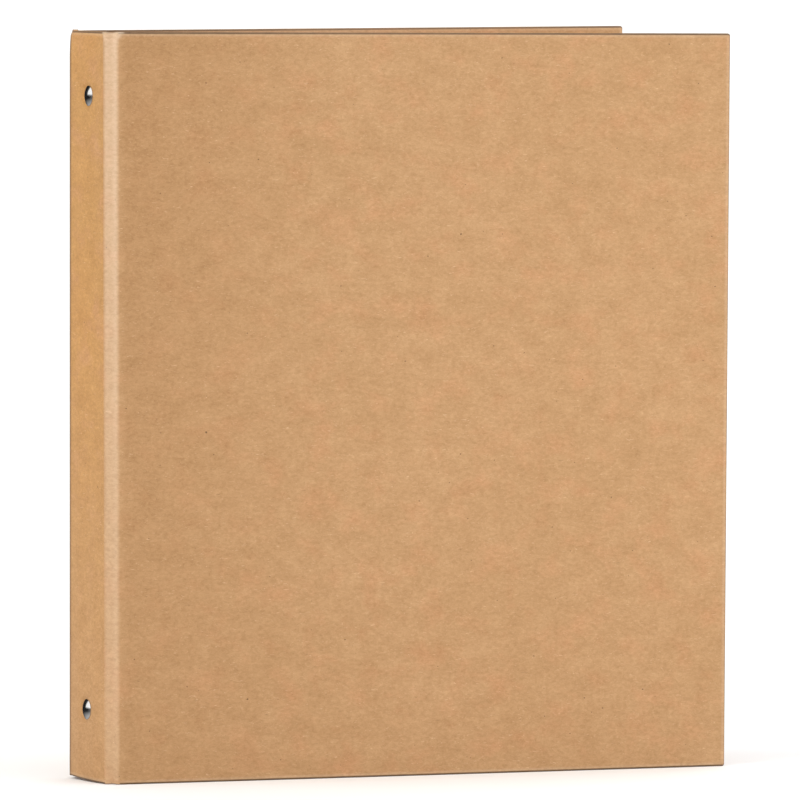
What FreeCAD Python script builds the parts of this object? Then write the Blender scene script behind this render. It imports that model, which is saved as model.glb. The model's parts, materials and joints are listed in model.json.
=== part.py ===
"""Kraft paper-over-board ring album, standing with its covers a little apart.

Frame: +Z up, millimetres. The origin is the middle of the spine's foot, at half the spine panel's
thickness. +X runs from the spine to the covers' free edges, the front cover faces -Y.

Every panel (spine, two hinge strips, two covers) is drawn flat in its own frame: x along the panel,
y through its thickness with the outer face at 0, z up. A placement then folds it to the standing pose.
"""
import FreeCAD, Part
import os
import Sketcher

V = FreeCAD.Vector

DIMENSIONS = {
    # whole album
    "height": 295.0,
    "spine_half": 17.5,
    "strip_width": 5.6,
    "cover_width": 264.4,
    "front_flare": 2.0,
    "back_flare": 8.4,
    # paper and board
    "board_t": 2.2,
    "wrap_t": 0.25,
    "lining_t": 0.2,
    "turn_in": 16.0,
    "lining_inset": 3.0,
    "crease_gap": 0.25,
    "board_setback": 0.7,
    "overcut": 1.0,
    # ring mechanism, heights measured from the spine's outer face
    "shield_length": 258.0,
    "shield_half": 9.2,
    "shield_wall": 0.7,
    "shoulder_x": 6.9,
    "crown_x": 9.1,
    "lip_reach": 1.6,
    "lip_t": 0.6,
    "notch_from": 5.45,
    "notch_inner": 5.5,
    "notch_width": 3.6,
    "pivot_x": 5.4,
    "pivot_y": 7.9,
    "plate_t": 0.8,
    "plate_overhang": 0.3,
    "plate_gap": 0.2,
    "plate_length": 250.4,
    "tilt": 5.5,
    "ring_pitch": 108.0,
    "ring_rise": 10.0,
    "ring_radius": 14.1,
    "wire_radius": 1.4,
    "bend_radius": 2.4,
    "leg_inner": 1.9,
    "tip_gap": 0.6,
    # rivets
    "rivet_pitch": 241.3,
    "mechanism_raise": 1.5,
    "rivet_head_radius": 4.0,
    "rivet_head_rise": 1.0,
    "rivet_seat": 0.6,
    "rivet_seat_radius": 4.3,
    "rivet_rim": 0.25,
    "shank_radius": 1.9,
    "post_radius": 2.8,
    "clinch_radius": 3.3,
    "clinch_t": 0.7,
    "clinch_taper": 0.5,
    "rivet_clearance": 0.2,
    "post_clearance": 0.7,
    "post_below_crown": 0.35,
    # triggers
    "trigger_pivot_in": 1.5,
    "trigger_pivot_x": 4.6,
    "trigger_pin_radius": 0.8,
    "trigger_half": 6.5,
    "tongue_half": 1.4,
    "tongue_reach": 3.6,
    "pin_clearance": 0.1,
}

# Side profile of a trigger: (outwards from its pivot pin, away from the spine's outer face).
LEVER_PROFILE = [(-0.9, 3.5), (0.6, 3.5), (4.6, 5.1), (10.2, 8.6), (11.6, 10.9),
                 (10.6, 11.3), (9.5, 9.9), (4.2, 6.5), (1.0, 5.7), (-0.9, 5.7)]
TONGUE_TOP = 4.1
TONGUE_FOOT = 3.3

doc = FreeCAD.newDocument("album")
sheet = doc.addObject("Spreadsheet::Sheet", "dims")
for row, (alias, value) in enumerate(DIMENSIONS.items(), start=1):
    sheet.set(f"A{row}", alias.replace("_", " "))
    sheet.set(f"B{row}", str(value))
    sheet.setAlias(f"B{row}", alias)
doc.recompute()

PANEL_T = "(dims.board_t + 2 * dims.wrap_t)"
LINED_T = "(dims.board_t + 2 * dims.wrap_t + dims.lining_t)"
ORIGIN_X = "(dims.wrap_t + dims.board_t / 2)"
MIDDLE_Z = "(dims.height / 2 + dims.mechanism_raise)"
nodes = {}


def keep(label, obj):
    """Register a finished piece under its node name."""
    obj.Label = label
    nodes[label] = obj
    return obj


def place(obj, x, y, z, angle):
    """Bind an object's position and its turn about Z to expressions."""
    obj.Placement = FreeCAD.Placement(V(0, 0, 0), FreeCAD.Rotation(V(0, 0, 1), 1))
    obj.setExpression("Placement.Base.x", x)
    obj.setExpression("Placement.Base.y", y)
    obj.setExpression("Placement.Base.z", z)
    obj.setExpression("Placement.Rotation.Angle", angle)


# ---------------------------------------------------------------- Part primitives

def block(name, low, size):
    """A box bound to expressions for its low corner and its three sides."""
    box = doc.addObject("Part::Box", name)
    for key, expression in zip(("Length", "Width", "Height"), size):
        box.setExpression(key, expression)
    for key, expression in zip("xyz", low):
        box.setExpression(f"Placement.Base.{key}", expression)
    return box


def cut(name, base, tools):
    """Base minus every tool."""
    result = base
    for number, tool in enumerate(tools, start=1):
        step = doc.addObject("Part::Cut", f"{name}_cut{number}")
        step.Base = result
        step.Tool = tool
        result = step
    return result


def fuse(name, pieces):
    joined = doc.addObject("Part::MultiFuse", name)
    joined.Shapes = pieces
    joined.Refine = True
    return joined


def torus_arc(name, centre_x, centre_y, radius, start, sweep):
    """A stretch of round wire bent to a circle in the XY plane."""
    arc = doc.addObject("Part::Torus", name)
    arc.setExpression("Radius1", radius)
    arc.setExpression("Radius2", "dims.wire_radius")
    arc.setExpression("Angle3", sweep)
    place(arc, centre_x, centre_y, "0", start)
    return arc


# ---------------------------------------------------------------- PartDesign helpers

def origin_plane(body, role):
    return [item for item in body.Origin.OriginFeatures if item.Role == role][0]


def new_sketch(body, name, plane, offset=None):
    sketch = body.newObject("Sketcher::SketchObject", name)
    sketch.AttachmentSupport = [(origin_plane(body, plane), "")]
    sketch.MapMode = "FlatFace"
    if offset:
        sketch.setExpression("AttachmentOffset.Base.z", offset)
    return sketch


def number(expression):
    """Value of an expression now, for a sketch's first shape."""
    value = sheet.evalExpression(expression)
    return float(getattr(value, "Value", value))


def outline(sketch, corners, bulges=None):
    """Closed outline through corners of (x, y) expressions; bulges maps an edge to (middle, radius)."""
    bulges = bulges or {}
    points = [V(number(x), number(y), 0) for x, y in corners]
    count = len(points)
    for edge, start in enumerate(points):
        end = points[(edge + 1) % count]
        if edge in bulges:
            middle_x, middle_y = bulges[edge][0]
            middle = V(number(middle_x), number(middle_y), 0)
            sketch.addGeometry(Part.Arc(start, middle, end), False)
        else:
            sketch.addGeometry(Part.LineSegment(start, end), False)
    for edge in range(count):
        following = (edge + 1) % count
        first = nearest_end(sketch, edge, points[edge])
        joint = nearest_end(sketch, edge, points[following])
        other = nearest_end(sketch, following, points[following])
        sketch.addConstraint(Sketcher.Constraint("Coincident", edge, joint, following, other))
        for kind, axis in (("DistanceX", 0), ("DistanceY", 1)):
            index = sketch.addConstraint(Sketcher.Constraint(kind, -1, 1, edge, first, points[edge][axis]))
            sketch.setExpression(f"Constraints[{index}]", corners[edge][axis])
        if edge in bulges:
            radius = bulges[edge][1]
            index = sketch.addConstraint(Sketcher.Constraint("Radius", edge, number(radius)))
            sketch.setExpression(f"Constraints[{index}]", radius)
    doc.recompute()


def nearest_end(sketch, edge, point):
    """1 for an edge's start point, 2 for its end point, whichever lies at the point."""
    start = sketch.getPoint(edge, 1)
    end = sketch.getPoint(edge, 2)
    return 1 if start.distanceToPoint(point) < end.distanceToPoint(point) else 2


def circle(sketch, x, y, radius):
    index = sketch.addGeometry(Part.Circle(V(number(x), number(y), 0), V(0, 0, 1), number(radius)), False)
    for kind, value in (("DistanceX", x), ("DistanceY", y)):
        row = sketch.addConstraint(Sketcher.Constraint(kind, -1, 1, index, 3, number(value)))
        sketch.setExpression(f"Constraints[{row}]", value)
    row = sketch.addConstraint(Sketcher.Constraint("Radius", index, number(radius)))
    sketch.setExpression(f"Constraints[{row}]", radius)


def pad(body, sketch, length, symmetric=False):
    feature = body.newObject("PartDesign::Pad", f"{sketch.Name}_pad")
    feature.Profile = sketch
    feature.SideType = "Symmetric" if symmetric else "One side"
    feature.setExpression("Length", length)
    sketch.Visibility = False
    doc.recompute()
    return feature


def pocket_through(body, sketch, reversed_way=False):
    feature = body.newObject("PartDesign::Pocket", f"{sketch.Name}_pocket")
    feature.Profile = sketch
    feature.Type = "ThroughAll"
    feature.Reversed = reversed_way
    doc.recompute()
    return feature


def rectangle(x0, y0, x1, y1):
    return [(x0, y0), (x1, y0), (x1, y1), (x0, y1)]


# ---------------------------------------------------------------- panels of board and paper

def flat_plate(label, side, x0, x1, depth, thickness, foot):
    """Plain sheet: from depth inwards, with the same margin above the floor and below the top."""
    body = doc.addObject("PartDesign::Body", label)
    sketch = new_sketch(body, f"{label}_outline", "XY_Plane", foot)
    outline(sketch, rectangle(x0, f"{side} * {depth}", x1, f"{side} * ({depth} + {thickness})"))
    pad(body, sketch, f"dims.height - 2 * ({foot})")
    return keep(label, body)


def lining(label, side, x0, x1, free_edge):
    """Inner sheet: a rim over the turned-in wrap, and a middle that beds down on the board."""
    body = flat_plate(label, side, x0, x1, PANEL_T, "dims.lining_t", "dims.lining_inset")
    inner_end = "dims.cover_width - dims.turn_in" if free_edge else x1
    sketch = new_sketch(body, f"{label}_bed", "XY_Plane", "dims.turn_in")
    low = "(dims.board_t + dims.wrap_t)"
    outline(sketch, rectangle(x0, f"{side} * {low}", inner_end, f"{side} * ({PANEL_T} + dims.lining_t / 2)"))
    pad(body, sketch, "dims.height - 2 * dims.turn_in")
    return body


def wrap(label, side, x0, x1, free_edge):
    """Outer sheet folded round the board's head and foot, and round its free edge where it has one."""
    def across(low, high):
        """Low corner and width through the panel, on the side its thickness grows towards."""
        corner = low if side > 0 else f"-({high})"
        return corner, f"({high}) - ({low})"

    outer_y, outer_w = across("0", PANEL_T)
    board_y, board_w = across("dims.wrap_t", "dims.wrap_t + dims.board_t")
    inner_y, inner_w = across("dims.wrap_t", f"{PANEL_T} + dims.overcut")
    past = "dims.overcut"
    cavity_end = f"{x1} - dims.wrap_t" if free_edge else f"{x1} + {past}"
    window_end = f"{x1} - dims.turn_in" if free_edge else f"{x1} + {past}"
    shell = block(f"{label}_shell", (x0, outer_y, "0"), (f"{x1} - ({x0})", outer_w, "dims.height"))
    cavity = block(f"{label}_cavity", (f"{x0} - {past}", board_y, "dims.wrap_t"),
                   (f"{cavity_end} - ({x0} - {past})", board_w, "dims.height - 2 * dims.wrap_t"))
    window = block(f"{label}_window", (f"{x0} - {past}", inner_y, "dims.turn_in"),
                   (f"{window_end} - ({x0} - {past})", inner_w, "dims.height - 2 * dims.turn_in"))
    return keep(label, cut(label, shell, [cavity, window]))


def rivet_holes(label, pieces, radius, x0, x1):
    """Cut both rivets' holes, each a cylinder through the spine, out of a Part or a body."""
    drills = []
    for end, sign in (("upper", "1"), ("lower", "-1")):
        drill = doc.addObject("Part::Cylinder", f"{label}_{end}_drill")
        drill.setExpression("Radius", radius)
        drill.setExpression("Height", f"{x1} - ({x0})")
        drill.Placement = FreeCAD.Placement(V(0, 0, 0), FreeCAD.Rotation(V(1, 0, 0), -90))
        drill.setExpression("Placement.Base.y", x0)
        drill.setExpression("Placement.Base.z", rivet_z(sign))
        drills.append(drill)
    return keep(label, cut(f"{label}_drilled", pieces, drills))


def rivet_z(sign):
    return f"{MIDDLE_Z} + {sign} * dims.rivet_pitch / 2"


spine_left = "-dims.spine_half + dims.crease_gap"
spine_right = "dims.spine_half - dims.crease_gap"
board_left = "-dims.spine_half + dims.board_setback"
board_right = "dims.spine_half - dims.board_setback"

shank_hole = "dims.shank_radius + dims.rivet_clearance"
outside = "-dims.overcut"
inside = f"{LINED_T} + dims.overcut"

spine_board = flat_plate("spine_board", 1, board_left, board_right, "dims.wrap_t", "dims.board_t",
                         "dims.wrap_t")
spine_wrap = wrap("spine_wrap", 1, spine_left, spine_right, False)
spine_lining = lining("spine_lining", 1, board_left, board_right, False)
spine_board = rivet_holes("spine_board", spine_board, "dims.rivet_seat_radius", outside, "dims.rivet_seat")
spine_board = rivet_holes("spine_board", spine_board, shank_hole, "0", inside)
spine_wrap = rivet_holes("spine_wrap", spine_wrap, "dims.rivet_seat_radius", outside, "dims.overcut")
spine_lining = rivet_holes("spine_lining", spine_lining, shank_hole, "0", inside)

FOLD = {"front": "(90 - dims.front_flare) / 2", "back": "(90 - dims.back_flare) / 2"}
FLARE = {"front": "dims.front_flare", "back": "dims.back_flare"}
SIDES = {"front": 1, "back": -1}

for name in ("spine_board", "spine_wrap", "spine_lining"):
    place(nodes[name], f"-{ORIGIN_X}", "0", "0", "-90")

for name, side in SIDES.items():
    strip_start = "dims.crease_gap"
    strip_end = "dims.strip_width - dims.crease_gap"
    strip = flat_plate(f"{name}_hinge_strip", side, strip_start, strip_end, "0", "dims.wrap_t", "0")
    strip_lining = flat_plate(f"{name}_hinge_lining", side, strip_start, strip_end, "dims.wrap_t",
                              "dims.lining_t", "dims.lining_inset")
    board = flat_plate(f"{name}_board", side, "dims.board_setback", "dims.cover_width - dims.wrap_t",
                       "dims.wrap_t", "dims.board_t", "dims.wrap_t")
    cover_wrap = wrap(f"{name}_wrap", side, "dims.crease_gap", "dims.cover_width", True)
    cover_lining = lining(f"{name}_lining", side, "dims.board_setback",
                          "dims.cover_width - dims.lining_inset", True)
    crease_y = f"{-side} * dims.spine_half"
    strip_angle = f"{side} * (-90 + {FOLD[name]})"
    for piece in (strip, strip_lining):
        place(piece, f"-{ORIGIN_X}", crease_y, "0", strip_angle)
    reach_x = f"dims.strip_width * sin({FOLD[name]})"
    reach_y = f"{-side} * dims.strip_width * cos({FOLD[name]})"
    for piece in (board, cover_wrap, cover_lining):
        place(piece, f"{reach_x} - {ORIGIN_X}", f"{crease_y} + {reach_y}", "0", f"{-side} * {FLARE[name]}")

# ---------------------------------------------------------------- ring shield and rivets

shield_base = LINED_T
shield = doc.addObject("PartDesign::Body", "ring_shield")
section = new_sketch(shield, "shield_section", "XY_Plane", f"{MIDDLE_Z} - dims.shield_length / 2")
inner_half = "(dims.shield_half - dims.shield_wall)"
lip_half = "(dims.shield_half - dims.lip_reach)"
lip_x = f"({shield_base} + dims.lip_t)"
crown_in = "(dims.crown_x - dims.shield_wall)"
shoulder_in = "(dims.shoulder_x - dims.shield_wall)"
crown_rise = "(dims.crown_x - dims.shoulder_x)"
arch = f"((dims.shield_half ^ 2 + {crown_rise} ^ 2) / (2 * {crown_rise}))"
arch_in = f"(({inner_half} ^ 2 + {crown_rise} ^ 2) / (2 * {crown_rise}))"
outline(section,
        [(shield_base, lip_half), (shield_base, "dims.shield_half"), ("dims.shoulder_x", "dims.shield_half"),
         ("dims.shoulder_x", "-dims.shield_half"), (shield_base, "-dims.shield_half"),
         (shield_base, f"-{lip_half}"), (lip_x, f"-{lip_half}"), (lip_x, f"-{inner_half}"),
         (shoulder_in, f"-{inner_half}"), (shoulder_in, inner_half), (lip_x, inner_half), (lip_x, lip_half)],
        {2: (("dims.crown_x", "0"), arch), 8: ((crown_in, "0"), arch_in)})
pad(shield, section, "dims.shield_length")
RING_HEIGHTS = {"lower": "-1", "middle": "0", "upper": "1"}


def ring_z(level):
    return f"{MIDDLE_Z} + {RING_HEIGHTS[level]} * dims.ring_pitch"


notches = new_sketch(shield, "shield_notches", "YZ_Plane", "dims.notch_from")
for level in RING_HEIGHTS:
    for sign in ("1", "-1"):
        near = f"{sign} * dims.notch_inner"
        far = f"{sign} * (dims.shield_half + dims.overcut)"
        low = f"{ring_z(level)} - dims.notch_width / 2"
        high = f"{ring_z(level)} + dims.notch_width / 2"
        corners = rectangle(near, low, far, high)
        first = notches.GeometryCount
        points = [V(number(x), number(y), 0) for x, y in corners]
        for corner in range(4):
            notches.addGeometry(Part.LineSegment(points[corner], points[(corner + 1) % 4]), False)
        for corner in range(4):
            after = first + (corner + 1) % 4
            notches.addConstraint(Sketcher.Constraint("Coincident", first + corner, 2, after, 1))
            for kind, axis in (("DistanceX", 0), ("DistanceY", 1)):
                constraint = Sketcher.Constraint(kind, -1, 1, first + corner, 1, points[corner][axis])
                index = notches.addConstraint(constraint)
                notches.setExpression(f"Constraints[{index}]", corners[corner][axis])
pocket_through(shield, notches, True)

posts = new_sketch(shield, "shield_rivet_holes", "YZ_Plane", "0")
for sign in ("1", "-1"):
    circle(posts, "0", rivet_z(sign), shank_hole)
pocket_through(shield, posts, True)

pin_holes = new_sketch(shield, "shield_pin_holes", "XZ_Plane", "0")
trigger_z = {"upper": f"{MIDDLE_Z} + dims.shield_length / 2 - dims.trigger_pivot_in",
             "lower": f"{MIDDLE_Z} - dims.shield_length / 2 + dims.trigger_pivot_in"}
for height in trigger_z.values():
    circle(pin_holes, "dims.trigger_pivot_x", height, "dims.trigger_pin_radius + dims.pin_clearance")
both_walls = pocket_through(shield, pin_holes)
both_walls.SideType = "Symmetric"
keep("ring_shield", shield)
place(shield, f"-{ORIGIN_X}", "0", "0", "0")

for end, sign in (("upper", "1"), ("lower", "-1")):
    rivet = doc.addObject("PartDesign::Body", f"rivet_{end}")
    half = new_sketch(rivet, f"rivet_{end}_profile", "XY_Plane")
    seat = "dims.rivet_seat"
    rim = "(dims.rivet_seat - dims.rivet_rim)"
    apex = "(dims.rivet_seat - dims.rivet_rim - dims.rivet_head_rise)"
    dome = "((dims.rivet_head_radius ^ 2 + dims.rivet_head_rise ^ 2) / (2 * dims.rivet_head_rise))"
    slope = "(dims.rivet_head_radius / 2)"
    post_top = f"({crown_in} - dims.post_below_crown)"
    belly = f"({apex} + {dome} - sqrt({dome} ^ 2 - {slope} ^ 2))"
    clinch_top = "dims.crown_x + dims.clinch_t"
    outline(half,
            [(apex, "0"), (rim, "dims.rivet_head_radius"), (seat, "dims.rivet_head_radius"),
             (seat, "dims.shank_radius"), (LINED_T, "dims.shank_radius"), (LINED_T, "dims.post_radius"),
             (post_top, "dims.post_radius"), (post_top, "dims.shank_radius"),
             ("dims.crown_x", "dims.shank_radius"), ("dims.crown_x", "dims.clinch_radius"),
             (clinch_top, "dims.clinch_radius - dims.clinch_taper"), (clinch_top, "0")],
            {0: ((belly, slope), dome)})
    turned = rivet.newObject("PartDesign::Revolution", f"rivet_{end}_turned")
    turned.Profile = half
    turned.ReferenceAxis = (half, ["H_Axis"])
    turned.Angle = 360
    keep(f"rivet_{end}", rivet)
    place(rivet, f"-{ORIGIN_X}", "0", rivet_z(sign), "0")

# ---------------------------------------------------------------- hinge plates and half rings

# In a jaw's own frame the pivot is the origin, x points away from the plate's upper face and
# y points outwards, towards that jaw's cover.
TILT = "dims.tilt * 1 deg"
weld_x = "(dims.plate_t / 2 + dims.wire_radius)"
centre_out = f"(dims.ring_rise * sin({TILT}) - dims.pivot_y * cos({TILT}))"
centre_up = f"(dims.pivot_y * sin({TILT}) + dims.ring_rise * cos({TILT}))"
bend_up = f"({weld_x} + dims.bend_radius)"
bend_out = (f"({centre_out} + sqrt((dims.ring_radius - dims.bend_radius) ^ 2"
            f" - ({centre_up} - {bend_up}) ^ 2))")
dip = f"asin(({centre_up} - {bend_up}) / (dims.ring_radius - dims.bend_radius))"
ring_from = "(dims.tilt * 1 deg + dims.tip_gap * 1 deg)"

for name, side in SIDES.items():
    out = -side
    pivot_y = f"{out} * dims.pivot_y"
    closed = f"{side} * dims.tilt"
    plate = doc.addObject("PartDesign::Body", f"{name}_plate")
    foot = f"{MIDDLE_Z} - dims.plate_length / 2"
    sketch = new_sketch(plate, f"{name}_plate_section", "XY_Plane", foot)
    inner_edge = f"{-out} * (dims.pivot_y - dims.plate_gap)"
    outer_edge = f"{out} * dims.plate_overhang"
    outline(sketch, rectangle("-dims.plate_t / 2", inner_edge, "dims.plate_t / 2", outer_edge))
    pad(plate, sketch, "dims.plate_length")
    holes = new_sketch(plate, f"{name}_plate_notches", "YZ_Plane", "0")
    for sign in ("1", "-1"):
        circle(holes, f"{-out} * dims.pivot_y", rivet_z(sign), "dims.post_radius + dims.post_clearance")
    through = pocket_through(plate, holes)
    through.SideType = "Symmetric"
    keep(f"{name}_plate", plate)
    place(plate, f"dims.pivot_x - {ORIGIN_X}", pivot_y, "0", closed)
    for level in RING_HEIGHTS:
        label = f"{name}_ring_{level}"
        leg = doc.addObject("Part::Cylinder", f"{label}_leg")
        leg.setExpression("Radius", "dims.wire_radius")
        leg.setExpression("Height", f"{bend_out} + dims.leg_inner")
        leg.Placement = FreeCAD.Placement(V(0, 0, 0), FreeCAD.Rotation(V(1, 0, 0), 90 * side))
        leg.setExpression("Placement.Base.x", weld_x)
        leg.setExpression("Placement.Base.y", f"{-out} * dims.leg_inner")
        ring_sweep = f"90 deg + {dip} - {ring_from}"
        bend_sweep = f"90 deg - {dip}"
        if side < 0:
            ring_start, bend_start = ring_from, f"90 deg + {dip}"
        else:
            ring_start, bend_start = f"-90 deg - {dip}", "-180 deg"
        bend = torus_arc(f"{label}_bend", bend_up, f"{out} * {bend_out}", "dims.bend_radius",
                         bend_start, bend_sweep)
        loop = torus_arc(f"{label}_loop", centre_up, f"{out} * {centre_out}", "dims.ring_radius",
                         ring_start, ring_sweep)
        ring = keep(label, fuse(label, [leg, bend, loop]))
        place(ring, f"dims.pivot_x - {ORIGIN_X}", pivot_y, ring_z(level), closed)

# ---------------------------------------------------------------- triggers

for end, sign in (("upper", 1), ("lower", -1)):
    trigger = doc.addObject("PartDesign::Body", f"{end}_trigger")
    lever = new_sketch(trigger, f"{end}_lever", "XZ_Plane")
    outline(lever, [(f"{x} - dims.trigger_pivot_x", f"{sign * z}") for z, x in LEVER_PROFILE])
    pad(trigger, lever, "2 * dims.trigger_half", True)
    tongue = new_sketch(trigger, f"{end}_tongue", "XZ_Plane")
    reach = f"{-sign} * dims.tongue_reach"
    outline(tongue, rectangle(f"{TONGUE_FOOT} - dims.trigger_pivot_x", reach,
                              f"{TONGUE_TOP} - dims.trigger_pivot_x", "0"))
    pad(trigger, tongue, "2 * dims.tongue_half", True)
    pin = new_sketch(trigger, f"{end}_pin", "XZ_Plane")
    circle(pin, "0", "0", "dims.trigger_pin_radius")
    pad(trigger, pin, "2 * dims.shield_half", True)
    keep(f"{end}_trigger", trigger)
    place(trigger, f"dims.trigger_pivot_x - {ORIGIN_X}", "0", trigger_z[end], "0")

# ---------------------------------------------------------------- check and write

doc.recompute()
for item in doc.Objects:
    if "Invalid" in item.State or "Error" in item.State:
        raise RuntimeError(f"{item.Name} did not compute: {item.State}")
os.makedirs("parts", exist_ok=True)
for label, item in nodes.items():
    shape = item.Shape
    if not shape.isValid() or len(shape.Solids) != 1:
        raise RuntimeError(f"{label} is not one valid solid")
    shape.exportStep(f"parts/{label}.step")
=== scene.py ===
"""Kraft ring album: the papers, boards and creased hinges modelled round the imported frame.

Lengths in the geometry code are millimetres, turned into metres when a mesh is made. Each side of the
album is drawn along its unfolded paper: p is the distance from the middle of the spine, over the two
creases, to the cover's free edge.
"""
import json
import math
import bpy
import bmesh
from mathutils import Matrix, Vector


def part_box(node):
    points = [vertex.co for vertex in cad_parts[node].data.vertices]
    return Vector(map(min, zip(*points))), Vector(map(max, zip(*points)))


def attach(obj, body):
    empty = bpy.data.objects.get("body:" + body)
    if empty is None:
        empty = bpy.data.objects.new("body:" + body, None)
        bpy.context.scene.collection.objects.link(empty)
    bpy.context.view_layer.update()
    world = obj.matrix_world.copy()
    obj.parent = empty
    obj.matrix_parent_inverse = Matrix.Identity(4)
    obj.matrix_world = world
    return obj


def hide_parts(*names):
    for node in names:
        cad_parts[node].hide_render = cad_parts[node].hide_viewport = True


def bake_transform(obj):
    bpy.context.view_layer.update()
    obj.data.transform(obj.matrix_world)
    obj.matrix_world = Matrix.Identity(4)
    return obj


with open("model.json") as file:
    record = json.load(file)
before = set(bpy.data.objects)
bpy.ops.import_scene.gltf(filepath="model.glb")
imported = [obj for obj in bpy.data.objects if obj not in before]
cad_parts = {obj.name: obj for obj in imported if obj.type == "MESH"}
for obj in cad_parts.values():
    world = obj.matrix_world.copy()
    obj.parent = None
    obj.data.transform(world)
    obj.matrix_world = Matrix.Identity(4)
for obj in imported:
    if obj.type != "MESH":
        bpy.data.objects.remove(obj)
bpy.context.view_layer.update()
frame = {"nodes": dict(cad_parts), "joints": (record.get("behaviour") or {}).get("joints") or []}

MM = 0.001
QUARTER = math.pi / 2

# ---------------------------------------------------------------- measures read from the frame

joints = {j["name"]: j for j in frame["joints"]}
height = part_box("spine_wrap")[1].z / MM
outer_x = joints["front_crease"]["pos_m"][0] / MM
crease_1 = abs(joints["front_crease"]["pos_m"][1]) / MM


def strip_length(side):
    first = Vector(joints[f"{side}_crease"]["pos_m"])
    second = Vector(joints[f"{side}_cover_fold"]["pos_m"])
    return (second - first).length / MM


strip_width = strip_length("front")
crease_2 = crease_1 + strip_width
# how far each cover stands open at rest, in degrees: its crease and its fold can each close half of it
flare = {side: -2 * joints[f"{side}_crease"]["range_deg"][0] for side in ("front", "back")}
sign_y = {"front": -1, "back": 1}


def cover_length():
    end_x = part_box("front_wrap")[1].x
    fold_x = joints["front_cover_fold"]["pos_m"][0]
    return (end_x - fold_x) / MM / math.cos(math.radians(flare["front"]))


cover_width = cover_length()
free_edge = crease_2 + cover_width

# ---------------------------------------------------------------- sizes, in millimetres

# paper and board
WRAP_T = 0.25
BOARD_T = 2.2
LINING_T = 0.2
PANEL_T = BOARD_T + 2 * WRAP_T
TURN_IN = 16.0
LINING_INSET = 3.0
BOARD_SETBACK = 0.7
BOARD_PLAY = 0.05
SHEET_GAP = 0.03
CORE_DEPTH = 0.95

# folds and creases: each crease has its own piece of paper, which starts SEAM short of it
FOLD_RADIUS = 0.65
LEAST_RADIUS = 0.03
EDGE_FLAT = 0.01
EDGE_PAPER = 0.5
CORNER_RADIUS = 1.1
CREASE_REACH = 1.0
SEAM = 1.1
BOARD_END = 0.5

# hollows pressed into the paper
HINGE_DIP = 0.16
HEAD_DIP = 0.55
HEAD_DIP_HEIGHT = 5.0
HEAD_DROP = 0.33
HEAD_DROP_HEIGHT = 1.2
FOOT_DROP_SHARE = 0.6
RIVET_DENT = 0.58
RIVET_DENT_EDGE = 1.5
RIVET_SHALLOW = 0.05
RIVET_SHALLOW_EDGE = 3.2
RIVET_SHALLOW_WIDTH = 3.0
BED_STEP = (-0.6, 1.4)

# mesh: steps round a bend, the grid under the rivet heads, and what counts as the same place
ROUND_STEPS = 4
ROUND_ROOM = 3.0
CORNER_STEPS = 6
BOARD_CORNER_STEPS = 5
BOARD_END_STEP = 0.12
RIVET_ZONE = 7.2
RIVET_GRID = 0.35
SAME_PLACE = 0.001
SAME_STATION = 0.0001
LINING_WELD = 0.02
WINDOW_PLAY = 0.01
PAPER_SHARP = 50.0
BOARD_SHARP = 30
METAL_SHARP = 35

# heights of mesh rows from the head and foot, and places of mesh columns from an edge
HEAD_ROWS = [0.0, 0.4, 0.9, 1.5, 2.2, 3.0, 6.0, 10.0]
LINING_ROWS = [LINING_INSET, 4.0, 8.0, 14.0]
SPINE_EDGE_COLUMNS = (0.0, 0.2, 0.4, 0.6, 1.0, 1.4, 1.9, 2.8)
SPINE_FAR_COLUMNS = (1.2, 0.5, 0.0)
COVER_START_COLUMNS = (0.0, 1.1, 2.3, 3.7)
FREE_EDGE_COLUMNS = (4.0, 2.6, 2.0, 1.5, 1.1)

# small squareness errors of a hand-made case
BACK_REACH = 60.0
SETTLE_HEIGHT = 30.0
CORNER_REACH = 3.5
FOOT_LIFT = 1.1
HEAD_CORNER = 0.45
HEAD_CORNER_HEIGHT = 6.0
HEAD_TILT = {"front": -1.2, "back": 0.45}
FOOT_WARP = 1.8
HEAD_WARP = 1.6
CURL = 1.6
CURL_LEVEL = 0.45
CURL_FROM = 6.0
BACK_FOOT_DRAW = 0.9
CORNER_DRAW = 0.62
CORNER_DRAW_HEIGHT = 2.6
CORNER_DRAW_LONG = 0.36
CORNER_DRAW_LONG_HEIGHT = 9.0
CORNER_DRAW_ACROSS = 0.6

# painted shade on edges and folds, and pale rubbing with painted sheen and highlight, from 0 to 1, and where
# they lie
# painted shade: dark rims along the rounded head, foot and free edges and their folds
RIM_SHADE = 0.62
RIM_SHADE_FROM = 0.6
RIM_SHADE_WIDTH = 0.35
FOLD_SHADE = 0.95
FOLD_SHADE_WIDTH = 0.4
# painted shade along the fold between spine and back strip
BACK_CREASE_SHADE = 0.92
BACK_FOLD_STEPS = ((0.68, 3.1), (0.32, 1.9))
BACK_FOLD_STEP_WIDTH = 1.1
BACK_FOLD_END = 0.75
BACK_FOLD_END_WIDTH = 0.45
# painted highlight: a pale band just inside folded edges
EDGE_HIGHLIGHT = 0.36
EDGE_HIGHLIGHT_FROM = 1.1
EDGE_HIGHLIGHT_WIDTH = 0.9
# pale band on the hinge strips: partly rubbing, partly painted sheen that brightens towards the head
BACK_SHEEN_RUB = 0.55
SHEEN_RUB_EDGE = 1.1
SHEEN_RUB_PAST_SPINE = 0.15
SHEEN_RUB_PAST_COVER = 0.05
SHEEN_RUB_LEVEL = 0.78
SHEEN_RUB_COVER_MORE = 0.22
SHEEN_RUB_COVER_FROM = 0.45
SHEEN_RUB_COVER_WIDTH = 0.4
SHEEN_RUB_FLARE = {"spine": 1.8, "cover": 2.7}
SHEEN_RUB_FLARE_HEIGHT = 3.8
SHEEN_RUB_AT_FOOT = 0.38
SHEEN_RUB_TO_HEAD = 0.72


def smooth(t):
    t = min(max(t, 0.0), 1.0)
    return t * t * (3 - 2 * t)


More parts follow.
